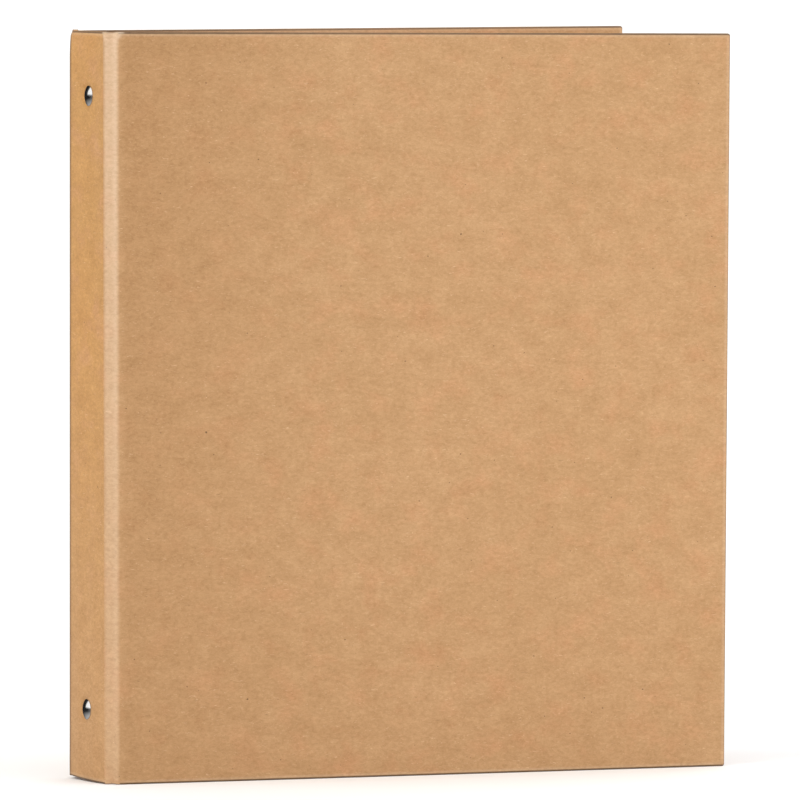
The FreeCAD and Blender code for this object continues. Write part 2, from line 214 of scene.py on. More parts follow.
class Side:
    """One half of the album's cross-section, from the middle of the spine to a free edge.

    Its three panels are half of the spine, the hinge strip and the cover, numbered 0 to 2.
    """

    def __init__(self, name):
        self.name = name
        s = sign_y[name]
        self.half_turn = math.radians((90 - flare[name]) / 4)
        self.along = [Vector((0, s))]
        self.inward = [Vector((1, 0))]
        for turns in (1, 2):
            angle = 2 * self.half_turn * turns
            self.along.append(Vector((math.sin(angle), s * math.cos(angle))))
            self.inward.append(Vector((math.cos(angle), -s * math.sin(angle))))
        self.start = [0.0, crease_1, crease_2]
        base = Vector((outer_x, 0.0))
        self.base = [base]
        for panel in (0, 1):
            run = self.start[panel + 1] - self.start[panel]
            self.base.append(self.base[-1] + self.along[panel] * run)

    def at(self, p, depth, panel):
        """Point on a panel, at a depth below its outer face."""
        return self.base[panel] + self.along[panel] * (p - self.start[panel]) + self.inward[panel] * depth

    def panel_of(self, p):
        return 0 if p < crease_1 else 1 if p < crease_2 else 2

    def outer(self, p, dip=0.0):
        """Outer face of the paper, rounded over each crease and hollowed between them by dip."""
        for panel, crease in ((0, crease_1), (1, crease_2)):
            if abs(p - crease) < CREASE_REACH:
                t = (p - crease + CREASE_REACH) / (2 * CREASE_REACH)
                before = self.at(crease - CREASE_REACH, 0, panel)
                corner = self.at(crease, 0, panel)
                after = self.at(crease + CREASE_REACH, 0, panel + 1)
                point = before * (1 - t) ** 2 + corner * 2 * t * (1 - t) + after * t ** 2
                break
        else:
            point = self.at(p, 0, self.panel_of(p))
        across = (p - crease_1) / strip_width
        if 0 < across < 1:
            point = point + self.inward[1] * dip * math.sin(math.pi * across) ** 2
        return point

    def inner(self, p, board_depth, strip_depth, dip=0.0):
        """Inner face at a depth over the boards, and at another over the bare paper between them."""
        if p <= crease_1 - BOARD_END:
            return self.at(p, board_depth, 0)
        if p >= crease_2 + BOARD_END:
            return self.at(p, board_depth, 2)
        setback = strip_depth * math.tan(self.half_turn)
        if p < crease_1:
            return self.at(min(p, crease_1 - setback), strip_depth, 0)
        if p > crease_2:
            return self.at(max(p, crease_2 + setback), strip_depth, 2)
        held = min(max(p, crease_1 + setback), crease_2 - setback)
        across = (p - crease_1) / strip_width
        sunk = strip_depth + dip * math.sin(math.pi * across) ** 2
        return self.at(held, sunk, 1)


SIDES = {name: Side(name) for name in ("front", "back")}


def settle(side, p, z):
    """Height after the small squareness errors of a hand-made case that has stood for a while."""
    y = sign_y[side.name] * p
    near = (y + crease_1) / (2 * crease_1) if y < crease_1 else 1 - smooth((y - crease_1) / BACK_REACH)
    near = max(near, 0.0)
    foot = FOOT_LIFT * near * (1 - smooth(z / SETTLE_HEIGHT))
    risen = smooth(1 - (height - z) / HEAD_CORNER_HEIGHT)
    corner = smooth(1 - abs(y - crease_1) / CORNER_REACH) * risen
    tilt = HEAD_TILT[side.name] * (p - crease_2) / cover_width * z / height if p > crease_2 else 0.0
    return z + foot + HEAD_CORNER * corner + tilt


def edge_share(reach, along):
    """How much of a spine edge's offset a station takes: all of it at the crease, none at the free edge."""
    return smooth((reach - CURL_FROM) / (crease_1 - CURL_FROM)) if reach < crease_1 else 1 - along


def lean(side, p, z):
    """Plan offset: curled spine edges, a corner drawn in at the head, and a warp in each cover."""
    y = sign_y[side.name] * p
    along = max(p - crease_2, 0.0) / cover_width
    curl = CURL * edge_share(-y, along) * (CURL_LEVEL - z / height)
    foot = BACK_FOOT_DRAW * edge_share(y, along) * (1 - z / height)
    below = height - z
    draw = CORNER_DRAW * smooth(1 - below / CORNER_DRAW_HEIGHT)
    draw += CORNER_DRAW_LONG * smooth(1 - below / CORNER_DRAW_LONG_HEIGHT)
    draw *= smooth(1 - abs(y - crease_1) / CORNER_REACH)
    warp = FOOT_WARP * (1 - z / height) if side.name == "front" else HEAD_WARP * z / height
    return Vector((curl + foot + draw, warp * along ** 2 - CORNER_DRAW_ACROSS * draw))


def back_fold_shade(side, p):
    """Painted shade: a dark line along the fold between spine and back strip, which rises in two steps and
    ends quickly.
    """
    past = sign_y[side.name] * p - crease_1
    rise = sum(share * smooth((past + before) / BACK_FOLD_STEP_WIDTH) for share, before in BACK_FOLD_STEPS)
    return BACK_CREASE_SHADE * rise * smooth((BACK_FOLD_END - past) / BACK_FOLD_END_WIDTH)


def edge_highlight(distance):
    """Painted highlight: a pale band just inside a folded edge."""
    return EDGE_HIGHLIGHT * smooth(1 - abs(distance - EDGE_HIGHLIGHT_FROM) / EDGE_HIGHLIGHT_WIDTH)


def crease_rub_and_sheen(p, z):
    """Pale band on the paper strip between two boards, partly rubbing and partly painted sheen: wider at the
    head where it is turned over, and brighter towards the head as painted light.
    """
    widened = smooth(1 - (height - z) / SHEEN_RUB_FLARE_HEIGHT)
    past_spine = p - crease_1 + SHEEN_RUB_PAST_SPINE + SHEEN_RUB_FLARE["spine"] * widened
    to_cover = crease_2 + SHEEN_RUB_PAST_COVER + SHEEN_RUB_FLARE["cover"] * widened - p
    rise = smooth((past_spine + SHEEN_RUB_EDGE) / (2 * SHEEN_RUB_EDGE))
    fall = smooth((to_cover + SHEEN_RUB_EDGE) / (2 * SHEEN_RUB_EDGE))
    across = (p - crease_1) / strip_width
    level = SHEEN_RUB_LEVEL + SHEEN_RUB_COVER_MORE * smooth((across - SHEEN_RUB_COVER_FROM) / SHEEN_RUB_COVER_WIDTH)
    return rise * fall * level * (SHEEN_RUB_AT_FOOT + SHEEN_RUB_TO_HEAD * z / height)


def spread(low, high, step):
    """Even stations from low to high, about a step apart."""
    count = max(1, round((high - low) / step))
    return [low + (high - low) * i / count for i in range(count)] + [high]


def merged(*lists):
    """All the stations of some lists in order, without the ones that coincide."""
    values = sorted(v for part in lists for v in part)
    kept = [values[0]]
    for v in values[1:]:
        if v - kept[-1] > SAME_STATION:
            kept.append(v)
    return kept


def hinge_columns():
    """Stations over one side's two creases, meeting halfway across the strip."""
    middle = (crease_1 + crease_2) / 2
    near = [crease_1 - SEAM, crease_1 - BOARD_END, crease_1 - BOARD_END + BOARD_END_STEP]
    first = merged(near, spread(crease_1 - CREASE_REACH, crease_1 + CREASE_REACH, step=0.2),
                   spread(crease_1 + CREASE_REACH, middle, step=0.45))
    return first, [crease_1 + crease_2 - p for p in reversed(first)]


# ---------------------------------------------------------------- mesh building

def new_object(name, mesh):
    obj = bpy.data.objects.new(name, mesh)
    bpy.context.scene.collection.objects.link(obj)
    return obj


class Skin:
    """Vertices in millimetres, the faces between them, and where on the paper each vertex is.

    Each vertex also has two amounts that the paper's material reads: the first is painted shade, dark, along
    edges and folds; the second is pale, partly rubbing and partly painted sheen and highlight.
    """

    def __init__(self):
        self.points = []
        self.paper = []
        self.edge_shade = []
        self.rub_and_highlight = []
        self.faces = []

    def add(self, point, paper, edge_shade=0.0, rub_and_highlight=0.0):
        self.points.append(point)
        self.paper.append(paper)
        self.edge_shade.append(edge_shade)
        self.rub_and_highlight.append(rub_and_highlight)
        return len(self.points) - 1

    def build(self, name, thickness, outward, sharp=PAPER_SHARP, weld=SAME_PLACE):
        """Mesh of the skin, thickened away from its visible face once points that coincide are welded."""
        mesh = bpy.data.meshes.new(name)
        mesh.from_pydata([Vector(p) * MM for p in self.points], [], self.faces)
        uv = mesh.uv_layers.new(name="paper")
        for loop in mesh.loops:
            uv.data[loop.index].uv = Vector(self.paper[loop.vertex_index]) * MM
        for label, values in (("edge_shade", self.edge_shade), ("rub_and_highlight", self.rub_and_highlight)):
            layer = mesh.attributes.new(label, "FLOAT", "POINT")
            layer.data.foreach_set("value", values)
        bm = bmesh.new()
        bm.from_mesh(mesh)
        loose = [v for v in bm.verts if not v.link_faces]
        bmesh.ops.delete(bm, geom=loose, context="VERTS")
        bmesh.ops.remove_doubles(bm, verts=bm.verts[:], dist=weld * MM)
        bm.normal_update()
        reference = outward(bm)
        if reference < 0:
            bmesh.ops.reverse_faces(bm, faces=bm.faces[:])
        bm.to_mesh(mesh)
        bm.free()
        obj = new_object(name, mesh)
        if thickness:
            solid = obj.modifiers.new("thickness", "SOLIDIFY")
            solid.thickness = thickness * MM
            solid.offset = -1
            apply_modifiers(obj)
        for polygon in obj.data.polygons:
            polygon.use_smooth = True
        obj.data.set_sharp_from_angle(angle=math.radians(sharp))
        return obj


def apply_modifiers(obj):
    bpy.context.view_layer.update()
    evaluated = obj.evaluated_get(bpy.context.evaluated_depsgraph_get())
    mesh = bpy.data.meshes.new_from_object(evaluated, preserve_all_data_layers=True,
                                           depsgraph=bpy.context.evaluated_depsgraph_get())
    old = obj.data
    obj.modifiers.clear()
    obj.data = mesh
    mesh.name = old.name
    bpy.data.meshes.remove(old)


def head_rows(extra=()):
    """Heights between the rounded head and foot edges, closer together near them."""
    edge = HEAD_ROWS + [TURN_IN]
    field = spread(TURN_IN, height - TURN_IN, step=9.0)
    return merged(edge, field, [height - e for e in edge], list(extra))


def make_room(z, edge_level):
    """Height of a row once the rounded edges have taken their room, up to edge_level, at head and foot."""
    away = min(z, height - z)
    if away >= ROUND_ROOM:
        return z
    level = edge_level + away * (ROUND_ROOM - edge_level) / ROUND_ROOM
    return level if z < height / 2 else height - level


def loop_points(outer, inner, rows, inset_depth, inset_z):
    """Closed outline of a slab at a station: up its outer face, over the head, down inside, under the foot.

    Each entry is (plan point, z, unrolled paper z, painted edge shade, is_inner_face).
    """
    through = inner - outer
    thick = through.length
    direction = through / thick
    low, high = inset_z, height - inset_z
    radius = max(min(FOLD_RADIUS, thick / 2 - EDGE_FLAT) - inset_depth, LEAST_RADIUS)
    front, back = inset_depth, thick - inset_depth
    entries = []

    def put(depth, z, paper_z, edge_shade, inside=False):
        entries.append((outer + direction * depth, z, paper_z, edge_shade, inside))

    def face(depth, face_rows, inside):
        for z in face_rows:
            level = make_room(z, low + radius)
            rim = min(level - low, high - level) - radius
            # rows near the head and foot get painted shade
            edge_shade = max(0.0, FOLD_SHADE - rim / FOLD_SHADE_WIDTH)
            put(depth, level, -level - thick if inside else level, edge_shade, inside)

    def bend(depth, z, start, paper_start, paper_radius=0.0):
        """Quarter turn about a centre, clockwise from start, with the faces' own rows as its two ends."""
        for k in range(1, ROUND_STEPS):
            turn = QUARTER * k / ROUND_STEPS
            # every point round a bend gets full painted shade
            put(depth + radius * math.cos(start - turn), z + radius * math.sin(start - turn),
                paper_start + paper_radius * turn, 1.0)

    face(front, rows, False)
    bend(front + radius, high - radius, 2 * QUARTER, high - radius, radius)
    put(front + radius, high, high + EDGE_PAPER, RIM_SHADE)
    put(back - radius, high, high + thick, RIM_SHADE)
    bend(back - radius, high - radius, QUARTER, high + thick, radius)
    face(back, reversed(rows), True)
    bend(back - radius, low + radius, 0.0, -thick - radius)
    put(back - radius, low, -thick, RIM_SHADE)
    put(front + radius, low, -EDGE_PAPER, RIM_SHADE)
    bend(front + radius, low + radius, -QUARTER, -radius)
    return entries


def free_edge_columns():
    """Stations near the free edge, following the rounded corner and then the rounded fold."""
    corner = [free_edge - CORNER_RADIUS + CORNER_RADIUS * math.sin(QUARTER * k / CORNER_STEPS)
              for k in range(CORNER_STEPS)]
    fold = [free_edge - FOLD_RADIUS + FOLD_RADIUS * math.sin(QUARTER * k / ROUND_STEPS)
            for k in range(ROUND_STEPS + 1)]
    return merged([free_edge - back for back in FREE_EDGE_COLUMNS], corner, fold)


def edge_insets(p):
    """How far the outline is drawn in at a station, through the depth and at the head and foot."""
    def drawn_in(radius):
        past = p - (free_edge - radius)
        return radius - math.sqrt(max(radius ** 2 - past ** 2, 0.0)) if past > 0 else 0.0
    return drawn_in(FOLD_RADIUS), drawn_in(CORNER_RADIUS)


def head_dip(z):
    """Extra hollow between the boards where the strip's paper is turned over at its head and foot."""
    near = min(z, height - z)
    return HEAD_DIP * smooth(1 - near / HEAD_DIP_HEIGHT)


def wrap_line(skin, side, p, rows, closed_edge, dent):
    """Closed outline of the wrap at one station, as (vertex, height before settling, is_inner_face)."""
    inset_depth, inset_z = edge_insets(p) if closed_edge else (0.0, 0.0)
    bare_outer = side.outer(p, HINGE_DIP)
    bare_inner = side.inner(p, PANEL_T, 2 * WRAP_T, HINGE_DIP)
    across = (p - crease_1) / strip_width
    hollow = math.sin(math.pi * across) ** 2 if 0 < across < 1 else 0.0
    from_end = free_edge - p
    at_end = from_end < SAME_PLACE
    # painted shade near the free edge
    rim = smooth((RIM_SHADE_FROM - from_end) / RIM_SHADE_WIDTH) if closed_edge else 0.0
    if closed_edge and at_end:
        rim = RIM_SHADE
    # painted shade along the fold between spine and back strip
    rim = max(rim, back_fold_shade(side, p))
    sheen_rub_share = BACK_SHEEN_RUB if sign_y[side.name] * p > 0 else 1
    line = []
    for plan, z, paper_z, edge_shade, inside in loop_points(bare_outer, bare_inner, rows, inset_depth, inset_z):
        plan = plan + side.inward[1] * hollow * head_dip(z)
        drop = hollow * HEAD_DROP * smooth(1 - min(z, height - z) / HEAD_DROP_HEIGHT)
        z = z - drop if z > height / 2 else z + drop * FOOT_DROP_SHARE
        if dent and not inside:
            plan = plan + side.inward[0] * dent.depth(p, z)
        edge_shade = rim if at_end else max(edge_shade, rim)
        # pale: rubbing with painted sheen on the hinge strip, and painted highlight just inside the edges
        rub_and_highlight_level = max(crease_rub_and_sheen(abs(p), z) * sheen_rub_share, edge_highlight(min(z, height - z, from_end)))
        plan = plan + lean(side, p, z)
        paper = (p + (free_edge if inside else 0.0), paper_z)
        line.append((skin.add((plan.x, plan.y, settle(side, p, z)), paper, edge_shade, rub_and_highlight_level), z, inside))
    return line


def wrap_faces(skin, grid, closed_edge):
    """Quads between neighbouring stations, except in the window that the turn-ins leave inside."""
    for (_, left), (q, right) in zip(grid, grid[1:]):
        beside_window = not closed_edge or q <= free_edge - TURN_IN + WINDOW_PLAY
        for k, a in enumerate(left):
            after = (k + 1) % len(left)
            b = left[after]
            low, high = min(a[1], b[1]), max(a[1], b[1])
            level_with = low > TURN_IN - WINDOW_PLAY and high < height - TURN_IN + WINDOW_PLAY
            if not (beside_window and level_with and a[2] and b[2]):
                skin.faces.append((a[0], b[0], right[after][0], right[k][0]))


def wrap_skin(side, columns, name, closed_edge, dent=None):
    """Outer wrap over a run of stations, with its head and foot turned in."""
    skin = Skin()
    rows = head_rows(dent.rows if dent else ())
    grid = [(p, wrap_line(skin, side, p, rows, closed_edge, dent)) for p in columns]
    wrap_faces(skin, grid, closed_edge)
    if closed_edge:
        cap_fill(skin, [entry[0] for entry in grid[-1][1]], len(rows))
    middle_p = columns[len(columns) // 2]
    centre = side.outer(middle_p, HINGE_DIP).to_3d() + Vector((0, 0, height / 2))

    def outward(bm):
        middle = min(bm.verts, key=lambda v: (v.co - centre * MM).length)
        return middle.normal.to_2d().dot(-side.inward[side.panel_of(middle_p)])

    return skin.build(name, WRAP_T, outward)


def cap_fill(skin, last, row_count):
    """Flat end of a slab: quads between its outer and inner face rows, and the ends over head and foot."""
    outer_rows = last[:row_count]
    inner_start = row_count + 2 * ROUND_STEPS
    inner_rows = list(reversed(last[inner_start:inner_start + row_count]))
    for k in range(row_count - 1):
        skin.faces.append((outer_rows[k], outer_rows[k + 1], inner_rows[k + 1], inner_rows[k]))
    skin.faces.append(tuple(last[row_count - 1:inner_start + 1]))
    skin.faces.append(tuple(last[inner_start + row_count - 1:] + [last[0]]))


class RivetDents:
    """Soft hollows that the rivet heads press into the spine's paper."""

    def __init__(self):
        self.centres = []
        self.rows = []
        for node in ("rivet_lower", "rivet_upper"):
            low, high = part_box(node)
            self.radius = (high.z - low.z) / 2 / MM
            centre = (low.z + high.z) / 2 / MM
            self.centres.append(centre)
            reach = self.radius + RIVET_SHALLOW_WIDTH
            self.rows += spread(centre - reach, centre + reach, RIVET_GRID)

    def depth(self, p, z):
        total = 0.0
        for centre in self.centres:
            away = math.hypot(p, z - centre)
            total += RIVET_DENT * smooth((self.radius - away) / RIVET_DENT_EDGE + 1)
            total += RIVET_SHALLOW * smooth((self.radius + RIVET_SHALLOW_EDGE - away) / RIVET_SHALLOW_WIDTH)
        return total


def lining_skin(side, columns, name, free=False):
    """Inner sheet: it lies over the turned-in wrap and steps down onto the board inside it."""
    edge = LINING_ROWS + spread(TURN_IN + BED_STEP[0], TURN_IN + BED_STEP[1], step=0.4)
    field_start = TURN_IN + 6
    field = spread(field_start, height - field_start, step=12.0)
    rows = merged(edge, field, [height - v for v in edge])
    skin = Skin()
    grid = []
    for p in columns:
        line = []
        for z in rows:
            away = min(z, height - z)
            if free:
                away = min(away, free_edge - p)
            step = smooth((away - TURN_IN - BED_STEP[0]) / (BED_STEP[1] - BED_STEP[0]))
            lift = LINING_T - WRAP_T * step
            dip = HINGE_DIP + head_dip(z)
            plan = side.inner(p, PANEL_T + lift, 2 * WRAP_T + lift, dip) + lean(side, p, z)
            line.append(skin.add((plan.x, plan.y, settle(side, p, z)), (p + 2 * free_edge, z + height)))
        grid.append(line)
    for left, right in zip(grid, grid[1:]):
        for k in range(len(rows) - 1):
            skin.faces.append((left[k], left[k + 1], right[k + 1], right[k]))

    def outward(bm):
        total = sum((face.normal for face in bm.faces), Vector((0, 0, 0)))
        return total.to_2d().dot(side.inward[side.panel_of(columns[len(columns) // 2])])

    return skin.build(name, LINING_T, outward, weld=LINING_WELD)


def board_skin(side, name, p_low, p_high, closed_edge, low_depth=WRAP_T):
    """Greyboard inside a wrap, with the same rounded corners."""
    columns = spread(p_low, p_high, step=15.0 if closed_edge else 2.0)
    if closed_edge:
        arc = [p_high - CORNER_RADIUS + CORNER_RADIUS * math.sin(QUARTER * k / BOARD_CORNER_STEPS)
               for k in range(BOARD_CORNER_STEPS + 1)]
        columns = merged([p for p in columns if p < p_high - CORNER_RADIUS], arc)
    outer, inner = low_depth + SHEET_GAP, WRAP_T + BOARD_T - SHEET_GAP
    skin = Skin()
    rings = []
    for p in columns:
        past = p - (p_high - CORNER_RADIUS)
        drawn_in = WRAP_T + BOARD_PLAY
        if closed_edge and past > 0:
            drawn_in += CORNER_RADIUS - math.sqrt(max(CORNER_RADIUS ** 2 - past ** 2, 0))
        low, high = drawn_in, height - drawn_in
        ring = []
        for depth, z in ((outer, low), (outer, high), (inner, high), (inner, low)):
            plan = side.at(p, depth, side.panel_of(p)) + lean(side, p, z)
            ring.append(skin.add((plan.x, plan.y, settle(side, p, z)), (p + depth, z)))
        rings.append(ring)
    for left, right in zip(rings, rings[1:]):
        for k in range(4):
            after = (k + 1) % 4
            skin.faces.append((left[k], left[after], right[after], right[k]))
    skin.faces.append(tuple(rings[0]))
    skin.faces.append(tuple(rings[-1]))

    def outward(bm):
        bmesh.ops.recalc_face_normals(bm, faces=bm.faces[:])
        return 1

    return skin.build(name, 0, outward, sharp=BOARD_SHARP)


# ---------------------------------------------------------------- materials

# kraft: the base and patch colours of each paper, the spine's foot, and what all the papers share
COVER_TONES = ((0.477, 0.275, 0.129, 1), (0.493, 0.286, 0.137, 1))
# painted warm light: the spine's paper is the cover's kraft, tinted more golden
SPINE_WARM_LIT_TONES = ((0.493, 0.258, 0.083, 1), (0.512, 0.260, 0.082, 1))
# painted light: the lining is the cover's kraft, made paler for its shaded inner faces
LINING_LIGHTENED_TONES = ((0.605, 0.350, 0.174, 1), (0.625, 0.356, 0.172, 1))
SPINE_FOOT = (0.475, 0.262, 0.112, 1)
BLUSH = (0.530, 0.268, 0.128, 1)
# painted shade: a darker band on the cover beside the hinge strip
HINGE_SIDE_SHADE = (0.425, 0.232, 0.101, 1)
DARK_FLECK = (0.130, 0.066, 0.030, 1)
PALE_FIBRE = (0.86, 0.62, 0.40, 1)
# painted shade along the rounded edges and folds
EDGE_SHADE_COLOUR = (0.060, 0.036, 0.020, 1)
# pale rubbing with painted sheen on the hinge strips, and painted highlight inside folded edges
RUB_AND_HIGHLIGHT_COLOUR = (0.80, 0.62, 0.46, 1)
PULP = ((0.24, 0.22, 0.19, 1), (0.36, 0.33, 0.29, 1))
PULP_FLECK = (0.62, 0.58, 0.52, 1)

# how much each channel swings with the paper's mottling: most in blue, least in red
CHANNEL_SWING = (1.0, 1.25, 1.7)
EDGE_SHADE_SHARE = 0.84
RUB_AND_HIGHLIGHT_SHARE = 0.52


def node_tree(name):
    material = bpy.data.materials.new(name)
    material.use_nodes = True
    tree = material.node_tree
    tree.nodes.clear()
    output = tree.nodes.new("ShaderNodeOutputMaterial")
    shader = tree.nodes.new("ShaderNodeBsdfPrincipled")
    tree.links.new(shader.outputs[0], output.inputs[0])
    return material, tree, shader


class Nodes:
    """Short names for the nodes that the materials and the world share."""

    def __init__(self, tree, coordinates):
        self.tree = tree
        self.coordinates = coordinates

    def link(self, value, socket):
        if hasattr(value, "links"):
            self.tree.links.new(value, socket)
        else:
            socket.default_value = value

    def mapped(self, scale, turn=0.0, shift=(0, 0, 0)):
        node = self.tree.nodes.new("ShaderNodeMapping")
        node.inputs["Scale"].default_value = scale
        node.inputs["Rotation"].default_value = (0, 0, math.radians(turn))
        node.inputs["Location"].default_value = shift
        self.tree.links.new(self.coordinates, node.inputs["Vector"])
        return node.outputs[0]

    def noise(self, scale, detail=2.0, roughness=0.5, turn=0.0, shift=(0, 0, 0), distortion=0.0):
        node = self.tree.nodes.new("ShaderNodeTexNoise")
        node.inputs["Scale"].default_value = 1.0
        node.inputs["Detail"].default_value = detail
        node.inputs["Roughness"].default_value = roughness
        node.inputs["Distortion"].default_value = distortion
        self.tree.links.new(self.mapped(scale, turn, shift), node.inputs["Vector"])
        return node.outputs["Fac"]

    def ramp(self, value, low, high, to_low=0.0, to_high=1.0):
        node = self.tree.nodes.new("ShaderNodeMapRange")
        node.inputs["From Min"].default_value = low
        node.inputs["From Max"].default_value = high
        node.inputs["To Min"].default_value = to_low
        node.inputs["To Max"].default_value = to_high
        self.tree.links.new(value, node.inputs["Value"])
        return node.outputs[0]

    def math(self, operation, a, b):
        node = self.tree.nodes.new("ShaderNodeMath")
        node.operation = operation
        self.link(a, node.inputs[0])
        self.link(b, node.inputs[1])
        return node.outputs[0]

    def times(self, a, b):
        return self.math("MULTIPLY", a, b)

    def total(self, first, *others):
        for value in others:
            first = self.math("ADD", first, value)
        return first

    def mix(self, factor, a, b, blend="MIX"):
        node = self.tree.nodes.new("ShaderNodeMix")
        node.data_type = "RGBA"
        node.blend_type = blend
        self.link(factor, node.inputs["Factor"])
        self.link(a, node.inputs["A"])
        self.link(b, node.inputs["B"])
        return node.outputs["Result"]

    def attribute(self, name):
        node = self.tree.nodes.new("ShaderNodeAttribute")
        node.attribute_name = name
        return node.outputs["Fac"]

    def bump(self, heights, strength, distance, shader):
        node = self.tree.nodes.new("ShaderNodeBump")
        node.inputs["Strength"].default_value = strength
        node.inputs["Distance"].default_value = distance
        self.tree.links.new(heights, node.inputs["Height"])
        self.tree.links.new(node.outputs[0], shader.inputs["Normal"])


def paper_ground(n, place, tones, foot, seed):
    """Broad tone of a sheet: patches, a reddish blush, a duller foot, and painted shade in a band beside the
    strip, darker towards the head.
    """
    across, up_sheet = place[0], place[1]
    broad = n.noise((16, 22, 1), detail=3, roughness=0.55, turn=20, shift=(seed, seed * 0.7, 0))
    blush = n.noise((60, 75, 1), detail=3, roughness=0.6, turn=35, shift=(seed + 6, 2, 0))
    colour = n.mix(n.ramp(broad, 0.38, 0.64), *tones)
    colour = n.mix(n.ramp(blush, 0.5, 0.72, to_high=0.6), colour, BLUSH)
    if foot:
        colour = n.mix(n.ramp(up_sheet, 0.02, 0.17, 1.0, 0.0), colour, foot)
    # painted shade beside the strip, stronger towards the head
    hinge_side_shade_mask = n.times(n.ramp(across, 0.0225, 0.027), n.ramp(across, 0.03, 0.11, 1.0, 0.0))
    shade_more_to_head = n.ramp(up_sheet, 0.0, 0.295, 0.42, 0.88)
    return n.mix(n.times(hinge_side_shade_mask, shade_more_to_head), colour, HINGE_SIDE_SHADE)


def paper_mottle(n, colour, cloud, felt, grain, mottle):
    """Uneven density of the pulp, from soft clouds to single grains."""
    clouds = n.ramp(cloud, 0.3, 0.7, -0.064, 0.064)
    felting = n.ramp(felt, 0.25, 0.75, -0.125, 0.125)
    graining = n.ramp(grain, 0.25, 0.75, -0.06, 0.06)
    tone = n.total(clouds, felting, graining)
    shade = n.tree.nodes.new("ShaderNodeCombineColor")
    for socket, swing in zip(shade.inputs, CHANNEL_SWING):
        n.link(n.total(n.times(tone, swing * mottle), 1.0), socket)
    return n.mix(1.0, colour, shade.outputs[0], "MULTIPLY")


def paper_flecks(n, colour, seed):
    """Loose fibres that lie in several directions, pale and dark, and dark specks."""
    for turn, offset in ((22, 3.1), (-38, 7.7), (71, 5.2)):
        fibre = n.noise((420, 2100, 1), detail=1, roughness=0.4, turn=turn,
                        shift=(offset + seed, offset, 0), distortion=1.6)
        colour = n.mix(n.ramp(fibre, 0.71, 0.80, to_high=0.36), colour, PALE_FIBRE)
    for turn, offset in ((-8, 1.3), (41, 9.4)):
        fibre = n.noise((420, 2300, 1), detail=1, roughness=0.4, turn=turn,
                        shift=(offset + seed, offset, 0), distortion=0.8)
        colour = n.mix(n.ramp(fibre, 0.73, 0.82, to_high=0.30), colour, DARK_FLECK)
    speck = n.noise((620, 700, 1), detail=1, roughness=0.3, shift=(seed + 2, 4, 0))
    return n.mix(n.ramp(speck, 0.785, 0.83, to_high=0.8), colour, DARK_FLECK)


def paper_shade_and_highlight(n, colour, cloud, felt):
    """Painted shade on edges and folds, and pale rubbing with painted sheen and highlight, where the mesh
    says that there are some.
    """
    edge_shade_mask = n.times(n.ramp(n.attribute("edge_shade"), 0.45, 1.0), n.ramp(cloud, 0.25, 0.6, 0.75, 1.0))
    colour = n.mix(n.times(edge_shade_mask, EDGE_SHADE_SHARE), colour, EDGE_SHADE_COLOUR)
    rub_and_highlight_mask = n.times(n.attribute("rub_and_highlight"), n.ramp(felt, 0.3, 0.65, 0.7, 1.0))
    return n.mix(n.times(rub_and_highlight_mask, RUB_AND_HIGHLIGHT_SHARE), colour, RUB_AND_HIGHLIGHT_COLOUR)


def kraft(name, tones, seed=0.0, foot=None, mottle=1.08):
    """Uncoated kraft paper: matted fibres along the sheet, patches of tone, specks and pale loose fibres."""
    material, tree, shader = node_tree(name)
    source = tree.nodes.new("ShaderNodeUVMap")
    source.uv_map = "paper"
    place = tree.nodes.new("ShaderNodeSeparateXYZ")
    tree.links.new(source.outputs[0], place.inputs[0])
    n = Nodes(tree, source.outputs[0])
    shift = (seed, seed * 0.7, 0)
    cloud = n.noise((95, 130, 1), detail=4, roughness=0.6, shift=shift)
    felt = n.noise((500, 800, 1), detail=5, roughness=0.62, turn=8, shift=shift, distortion=0.6)
    grain = n.noise((1500, 2300, 1), detail=3, roughness=0.6, turn=12, shift=shift)
    colour = paper_ground(n, place.outputs, tones, foot, seed)
    colour = paper_mottle(n, colour, cloud, felt, grain, mottle)
    colour = paper_flecks(n, colour, seed)
    colour = paper_shade_and_highlight(n, colour, cloud, felt)
    tree.links.new(colour, shader.inputs["Base Color"])
    tree.links.new(n.ramp(felt, 0.2, 0.8, 0.78, 0.96), shader.inputs["Roughness"])
    shader.inputs["Specular IOR Level"].default_value = 0.22
    shader.inputs["Sheen Weight"].default_value = 0.08
    shader.inputs["Sheen Roughness"].default_value = 0.6
    heights = n.total(n.times(felt, 0.7), n.times(grain, 0.4), n.times(cloud, 0.8))
    n.bump(heights, strength=0.35, distance=0.00012, shader=shader)
    return material


def greyboard(name):
    """Recycled pulp board with pale and dark flecks."""
    material, tree, shader = node_tree(name)
    source = tree.nodes.new("ShaderNodeTexCoord")
    n = Nodes(tree, source.outputs["Object"])
    pulp = n.noise((900, 900, 2400), detail=4, roughness=0.6)
    fleck = n.noise((2600, 2600, 2600), detail=2, roughness=0.5)
    colour = n.mix(n.ramp(pulp, 0.3, 0.7), *PULP)
    colour = n.mix(n.ramp(fleck, 0.68, 0.76), colour, PULP_FLECK)
    tree.links.new(colour, shader.inputs["Base Color"])
    shader.inputs["Roughness"].default_value = 0.92
    n.bump(pulp, strength=0.5, distance=0.0002, shader=shader)
    return material


